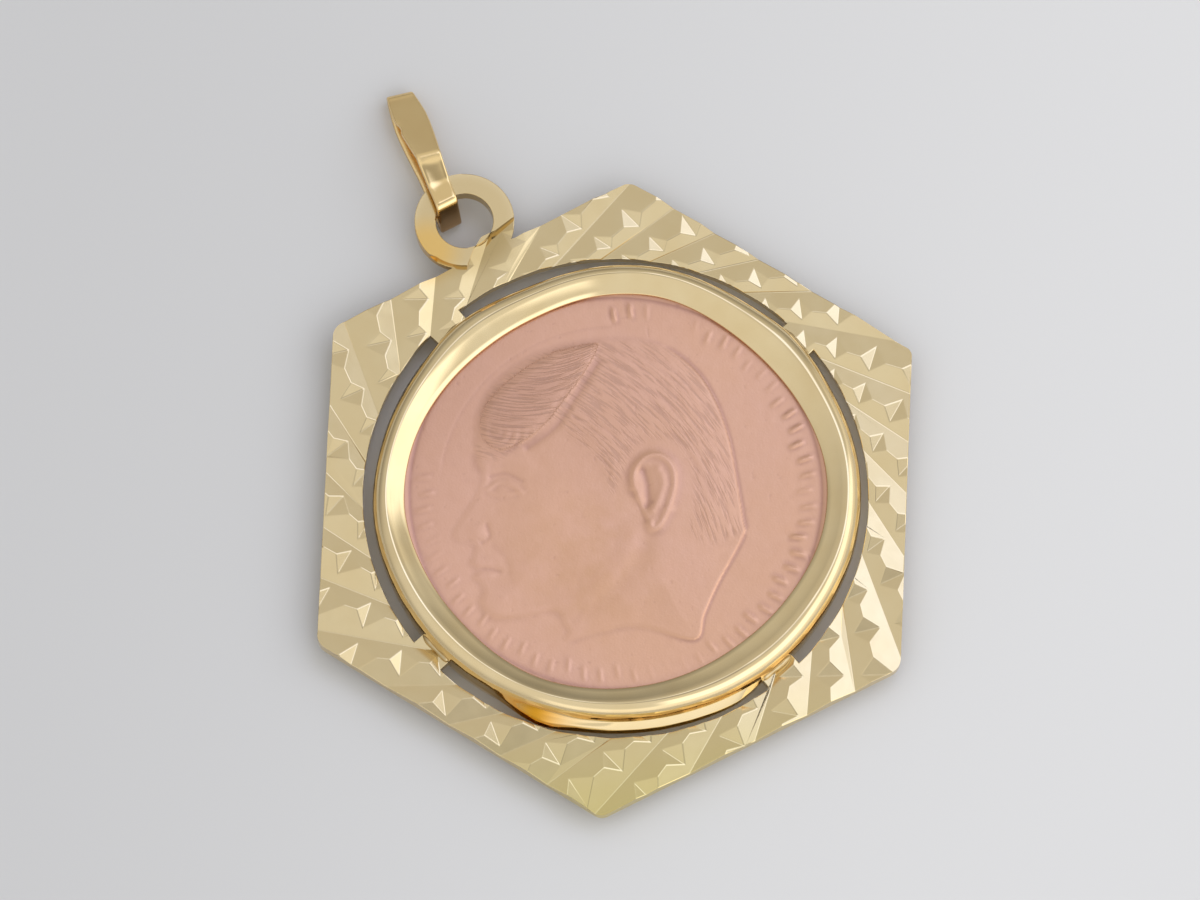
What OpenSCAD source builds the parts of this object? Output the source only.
/* [Plate] */
// Width of the hexagonal plate across its flats
plate_flats = 28.0; // [26:0.1:30]
// Radius on the six corners of the plate
plate_corner_r = 1.3; // [0.6:0.1:2]
// Thickness of the plate, the eye and the tabs
plate_t = 0.7; // [0.6:0.05:0.9]
// Radius of the round opening that the bezel sits in
opening_r = 12.16; // [12:0.02:12.4]

/* [Diamond cutting] */
// Number of straight passes of the cutting tool round the plate
pass_count = 30; // [12:1:36]
// Distance of each pass from the centre of the cut pattern
pass_distance = 9.82; // [9:0.02:10.5]
// Turn of the first pass
pass_turn = 3.8; // [0:0.1:12]
// Offset of the cut pattern from the plate's centre, to the right
pattern_x = 0.39; // [0:0.01:0.6]
// Offset of the cut pattern from the plate's centre, towards the eye
pattern_y = 0.36; // [0:0.01:0.6]
// Depth of each pass
pass_depth = 0.3; // [0.1:0.02:0.4]
// Rise of the outer flank of a pass per millimetre of width
flank_slope = 0.3; // [0.2:0.02:0.5]
// Slope of the inner flank as a share of the outer one
inner_flank_share = 0.62; // [0.5:0.02:1]
// Lengthwise tilt of each pass, deeper at its near end
pass_tilt = 0.2; // [0:0.05:0.4]

/* [Eye] */
// Distance of the eye's centre from the plate's centre
eye_y = 15.83; // [15.5:0.05:16.2]
// Outer radius of the eye
eye_r = 2.42; // [2.3:0.05:2.8]
// Radius of the hole that the bail goes through
eye_hole_r = 1.4; // [1.3:0.05:1.6]

/* [Bezel] */
// Radius of the bezel at its widest
bezel_r = 11.62; // [11.5:0.02:11.8]
// Radius of the bezel's crest
crest_r = 10.95; // [10.85:0.02:11.1]
// Radius of the edge of the two lips that hold the coin
lip_r = 9.93; // [9.7:0.02:10.1]
// Height of the bezel from back to front
bezel_h = 2.66; // [2.5:0.02:2.9]
// Drop of a lip's edge below the crest
lip_drop = 0.44; // [0.3:0.02:0.46]
// Thickness of a lip at its edge
lip_t = 0.17; // [0.1:0.01:0.19]

/* [Tabs] */
// Width of each of the four tabs that the bezel is soldered to
tab_w = 1.87; // [1.2:0.05:3]

/* [Coin] */
// Radius of the coin
coin_r = 10.5; // [10.3:0.02:10.52]
// Thickness of the coin
coin_t = 1.3; // [1.0:0.05:1.32]
// Height of the head above the coin's field
relief_h = 0.12; // [0.05:0.01:0.2]
// Turn of the head against the plate's upright
relief_turn = -27; // [-90:1:90]

/* [Bail] */
// Thickness of the bail's strip
strip_t = 0.3; // [0.25:0.05:0.35]
// Outer radius of the loop round the eye
neck_r = 1.23; // [1.2:0.01:1.24]
// Outer radius of the fold at the far end
fold_r = 0.85; // [0.7:0.05:1]
// Distance from the loop's centre to the fold's centre
bail_reach = 4.85; // [4:0.05:6]
// Turn of the bail against the plate's upright
bail_turn = -5.5; // [-8:0.5:0]
// Width of the strip at the neck
neck_w = 1.24; // [1.1:0.02:1.26]
// Width of the strip at its widest
belly_w = 1.66; // [1.3:0.02:1.7]
// Width of the strip at the fold
fold_w = 1.34; // [1.1:0.02:1.6]

/* [Hidden] */
$fn = 96;
// Half of the plate's width across flats, and its radius to the sharp corners
flat_r = plate_flats / 2;
hex_r = flat_r / cos(30);
// The bezel is the same front and back, and the plate lies at mid height
mid_z = bezel_h / 2;
plate_z = 0.9;
plate_top = plate_z + plate_t;
band_z = plate_z + plate_t / 2;
// Directions of the four tabs
tab_turns = [15, 105.4, 194.2, 284.2];
tab_in_r = bezel_r - 0.2;
// The coin's groove in the bezel is a little larger than the coin
coin_gap = 0.05;
groove_r = coin_r + 0.08;
coin_z = mid_z - coin_t / 2;
// Width of the narrow flat on the crest, which the pendant rests on at its back
crest_land = 0.08;
// Depth to which the raised head reaches into the coin
sunk = 0.3;
// Place of the bail's pivot on the eye's band, and the fold's height on the surface
pivot = [-0.27, eye_y + 1.7, band_z];
droop = asin((pivot[2] - fold_r) / bail_reach);
// The kink on the strip's front: its place along the bail and its height
kink_u = 1.75;
kink_h = 1.3;
// The origin lies under the middle of the whole pendant
far_y = pivot[1] + (bail_reach * cos(droop) + fold_r) * cos(bail_turn)
      + fold_w / 2 * sin(-bail_turn);
shift_y = -(far_y - flat_r) / 2;
cut_over = 0.5;
gold = [0.82, 0.72, 0.45];
rose = [0.80, 0.62, 0.54];

function polar(r, a) = [r * cos(a), r * sin(a)];
function arc(c, r, a0, a1, n) = [for (i = [0:n]) c + polar(r, a0 + (a1 - a0) * i / n)];

// One point of a closed smooth curve between p[i] and p[i + 1]
function curve_point(p, i, t) =
    let (n = len(p), a = p[(i + n - 1) % n], b = p[i], c = p[(i + 1) % n], d = p[(i + 2) % n])
    0.5 * (2 * b + (c - a) * t + (2 * a - 5 * b + 4 * c - d) * t * t
         + (3 * b - a - 3 * c + d) * t * t * t);
function curve(p, steps) =
    [for (i = [0:len(p) - 1], k = [0:steps - 1]) curve_point(p, i, k / steps)];

// Outline of the plate: straight flats with a round at each corner
module plate_outline() {
    corner = hex_r - plate_corner_r / cos(30);
    polygon([for (k = [0:5], s = [-30, 30])
        polar(corner, 60 * k) + polar(plate_corner_r, 60 * k + s)]);
    for (k = [0:5]) translate(polar(corner, 60 * k)) circle(r = plate_corner_r);
}

module tab_outline(turn) {
    rotate(turn) translate([tab_in_r, -tab_w / 2])
        square([opening_r + 0.3 - tab_in_r, tab_w]);
}

// The flat blank that is cut: the plate with its opening, the tabs and the eye's disc
module blank() {
    translate([0, 0, plate_z]) linear_extrude(plate_t) {
        difference() {
            union() {
                plate_outline();
                translate([0, eye_y]) circle(r = eye_r);
            }
            circle(r = opening_r);
            translate([0, eye_y]) circle(r = eye_hole_r);
        }
        for (turn = tab_turns) tab_outline(turn);
    }
}

// One pass of the cutting tool: a long vee, deeper at its near end
module cut_pass() {
    rise = (pass_depth + cut_over) / flank_slope;
    translate([pass_distance, 0, plate_top]) rotate([pass_tilt, 0, 0]) rotate([90, 0, 0])
        translate([0, 0, -hex_r]) linear_extrude(2 * hex_r) polygon([
            [0, -pass_depth], [rise, cut_over], [-rise / inner_flank_share, cut_over]]);
}

// The eye's ring stays flat beyond its root
module eye_ring() {
    root_y = eye_y - 1.5;
    translate([0, 0, plate_z]) linear_extrude(plate_t) difference() {
        translate([0, eye_y]) circle(r = eye_r);
        translate([0, eye_y]) circle(r = eye_hole_r);
        translate([-eye_r - 1, root_y - 5]) square([2 * eye_r + 2, 5]);
    }
}

// Half of the bezel's section above its middle, as radius and height over the middle
function half_section() =
    let (h = bezel_h / 2, lip_h = h - lip_drop)
    concat([[lip_r, lip_h - lip_t], [lip_r, lip_h - 0.04], [lip_r + 0.05, lip_h],
            [crest_r - 0.5, h - 0.24], [crest_r - 0.16, h - 0.03], [crest_r - crest_land, h]],
        arc([crest_r, h - 0.3], 0.3, 90, 45, 3),
        [[bezel_r - 0.14, h - 0.4], [bezel_r - 0.03, h - 0.7]]);

module bezel_section() {
    half = half_section();
    n = len(half);
    lower = [for (i = [n - 1:-1:0]) [half[i][0], -half[i][1]]];
    groove = [[groove_r, -coin_t / 2 - coin_gap], [groove_r, coin_t / 2 + coin_gap]];
    polygon(concat(half, [[bezel_r, 0.35], [bezel_r, -0.35]], lower, groove));
}

module bezel() {
    translate([0, 0, mid_z]) rotate_extrude() bezel_section();
}

// Plate, eye and bezel are soldered together and are one solid
module frame() {
    color(gold) translate([0, shift_y, 0]) {
        difference() {
            blank();
            translate([pattern_x, pattern_y, 0]) for (k = [0:pass_count - 1])
                rotate([0, 0, pass_turn + k * 360 / pass_count]) cut_pass();
        }
        eye_ring();
        bezel();
    }
}

// A plain head in profile, looking left: forehead, nose, lips, chin, neck, nape and crown
head_points = [
    [-6.5, 4.4], [-6.75, 3.0], [-6.75, 1.7], [-6.4, 0.7], [-6.95, -0.5], [-7.8, -1.9],
    [-7.6, -2.4], [-6.8, -2.7], [-7.05, -3.5], [-6.75, -3.9], [-6.9, -4.3], [-6.45, -4.85],
    [-6.6, -5.6], [-6.0, -6.4], [-4.6, -6.4], [-3.0, -6.1], [-2.4, -6.9], [-2.4, -7.5],
    [-0.8, -7.1], [1.2, -6.9], [3.7, -7.5], [4.2, -6.2], [4.9, -4.6], [6.1, -2.3],
    [6.1, -1.4], [5.8, 0.8], [5.5, 2.6], [4.9, 4.5], [3.9, 6.2], [2.2, 7.5],
    [-0.2, 7.8], [-3.2, 7.3], [-5.4, 6.0]];
// The hair is swept forwards from a parting and cut short round the ear
hair_points = [
    [-6.6, 4.6], [-6.7, 3.2], [-7.0, 2.2], [-6.6, 1.5], [-5.5, 1.5], [-4.4, 2.3],
    [-3.1, 3.3], [-2.2, 2.6], [-1.0, 1.4], [-0.2, -0.4], [0.5, 0.7], [1.2, 2.2],
    [2.6, 2.4], [3.4, 1.2], [3.5, -0.8], [3.3, -2.1], [4.6, -2.9], [6.2, -2.2],
    [6.2, -1.4], [5.9, 0.8], [5.6, 2.6], [5.0, 4.6], [4.0, 6.3], [2.2, 7.65],
    [-0.2, 7.95], [-3.3, 7.45], [-5.5, 6.15]];
// Middle, half width and half height of the ear, and its lean
ear_middle = [1.9, 0];
ear_size = [1.0, 1.95];
ear_lean = -8;

module coin() {
    color(rose) translate([0, shift_y, coin_z]) {
        cylinder(r = coin_r, h = coin_t);
        translate([0, 0, coin_t - sunk]) rotate([0, 0, relief_turn]) {
            linear_extrude(sunk + relief_h) polygon(curve(head_points, 3));
            linear_extrude(sunk + relief_h * 1.5) polygon(curve(hair_points, 3));
            translate(ear_middle) rotate(ear_lean) linear_extrude(sunk + relief_h * 1.9)
                polygon([for (a = [0:20:340]) [ear_size[0] * cos(a), ear_size[1] * sin(a)]]);
        }
    }
}

// Side view of the bail's strip: a loop round the eye, a kink on its front and a fold
module bail_profile(inset) {
    lean = asin((neck_r - fold_r) / bail_reach);
    front = atan2(kink_h - neck_r, kink_u);
    back = atan2(kink_h - fold_r, bail_reach - kink_u);
    polygon(concat(
        arc([0, 0], neck_r - inset, 90 + front, 270 - lean, 24),
        arc([bail_reach, 0], fold_r - inset, -90 - lean, 90 - back, 24),
        [[kink_u, kink_h - inset]]));
}

// Front view of the bail's strip, half of it: distance along the bail and half width
function half_front() = [
    [-neck_r - 0.5, neck_w / 2], [0.7, neck_w / 2], [kink_u, 0.36 * neck_w + 0.16 * belly_w],
    [2.6, belly_w / 2 - 0.02], [3.2, belly_w / 2], [3.9, belly_w / 2 - 0.01],
    [4.6, (belly_w + fold_w) / 4 + 0.01], [bail_reach + fold_r, fold_w / 2],
    [bail_reach + fold_r + 0.5, fold_w / 2]];

module bail() {
    half = half_front();
    n = len(half);
    color(gold) translate([0, shift_y, 0] + pivot) rotate([0, 0, bail_turn])
        rotate([-droop, 0, 0]) intersection() {
            rotate([90, 0, 90]) translate([0, 0, -2]) linear_extrude(4) difference() {
                bail_profile(0);
                bail_profile(strip_t);
            }
            translate([0, 0, -2]) linear_extrude(4) polygon(concat(
                [for (p = half) [p[1], p[0]]],
                [for (i = [n - 1:-1:0]) [-half[i][1], half[i][0]]]));
        }
}

frame();
coin();
bail();
